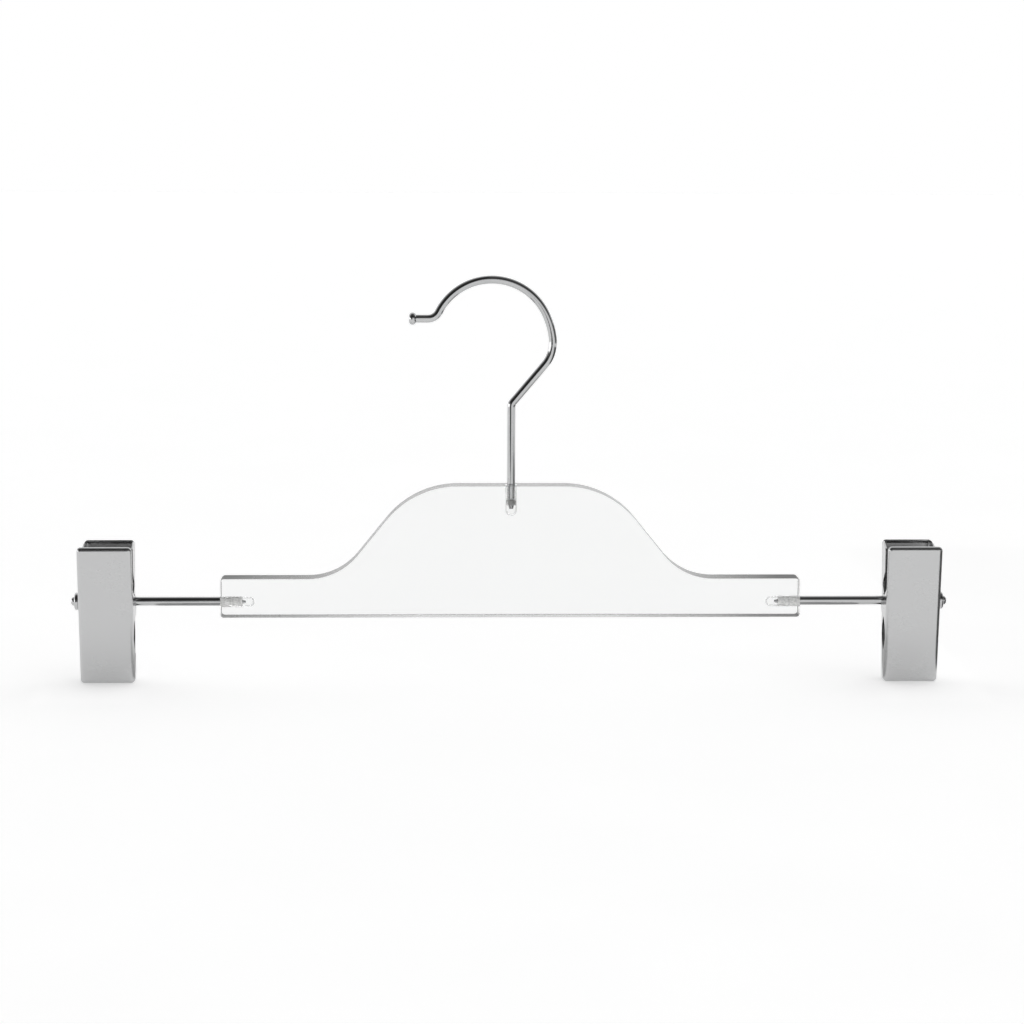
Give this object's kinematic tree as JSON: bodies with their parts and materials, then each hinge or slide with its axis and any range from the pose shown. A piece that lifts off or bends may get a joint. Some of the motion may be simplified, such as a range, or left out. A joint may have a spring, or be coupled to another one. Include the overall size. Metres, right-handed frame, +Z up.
{
  "type": "clothes hanger",
  "caption": "Clear acrylic trouser and skirt hanger with a swivelling wire hook and sprung metal clips that slide on rods at its ends.",
  "frame": {"origin": "on the floor that the closed clips stand on, under the axis of the hook's stem", "axes": "+X along the hanger towards the clip on the viewer's right, +Y from front to back, +Z up along the hook's stem"},
  "size_m": [0.4, 0.0254, 0.1852],
  "materials": {
    "clear_acrylic": "polished clear",
    "chrome": "polished",
    "clip_chrome": "satin",
    "insert_metal": "turned",
    "clear_bush": "clear moulded",
    "spring_steel": "bright drawn",
    "grip_rubber": "matte"
  },
  "bodies": {
    "hanger": {"acrylic_plate": "clear_acrylic", "hook_socket": "clear_bush", "left_rod": "chrome", "left_rod_insert": "insert_metal", "left_end_collar": "chrome", "right_rod": "chrome", "right_rod_insert": "insert_metal", "right_end_collar": "chrome"},
    "hook": {"hook_wire": "chrome", "hook_tip_head": "chrome", "hook_retainer": "insert_metal"},
    "left_slider": {"left_pivot_sleeve": "spring_steel"},
    "left_front_jaw": {"left_front_plate": "clip_chrome", "left_front_pad": "grip_rubber", "left_spring": "spring_steel"},
    "left_back_jaw": {"left_back_plate": "clip_chrome", "left_back_pad": "grip_rubber"},
    "right_slider": {"right_pivot_sleeve": "spring_steel"},
    "right_front_jaw": {"right_front_plate": "clip_chrome", "right_front_pad": "grip_rubber", "right_spring": "spring_steel"},
    "right_back_jaw": {"right_back_plate": "clip_chrome", "right_back_pad": "grip_rubber"}
  },
  "joints": [
    {"name": "hook_swivel", "type": "hinge", "parent": "hanger", "child": "hook", "pos_m": [0, 0, 0.1], "axis": [0, 0, 1], "continuous": true},
    {"name": "left_clip_slide", "type": "slide", "parent": "hanger", "child": "left_slider", "axis": [1, 0, 0], "range_m": [0, 0.0385]},
    {"name": "left_clip_swing", "type": "hinge", "parent": "left_slider", "child": "left_front_jaw", "pos_m": [-0.1834, 0, 0.037], "axis": [1, 0, 0], "continuous": true},
    {"name": "left_jaw_open", "type": "hinge", "parent": "left_front_jaw", "child": "left_back_jaw", "pos_m": [-0.1834, 0, 0.037], "axis": [1, 0, 0], "range_deg": [0, 26], "stiffness_Nm_per_rad": 0.25, "springref_deg": -68.75, "deforming": ["left_spring"]},
    {"name": "right_clip_slide", "type": "slide", "parent": "hanger", "child": "right_slider", "axis": [-1, 0, 0], "range_m": [0, 0.0385]},
    {"name": "right_clip_swing", "type": "hinge", "parent": "right_slider", "child": "right_front_jaw", "pos_m": [0.1834, 0, 0.037], "axis": [1, 0, 0], "continuous": true},
    {"name": "right_jaw_open", "type": "hinge", "parent": "right_front_jaw", "child": "right_back_jaw", "pos_m": [0.1834, 0, 0.037], "axis": [1, 0, 0], "range_deg": [0, 26], "stiffness_Nm_per_rad": 0.25, "springref_deg": -68.75, "deforming": ["right_spring"]}
  ]
}
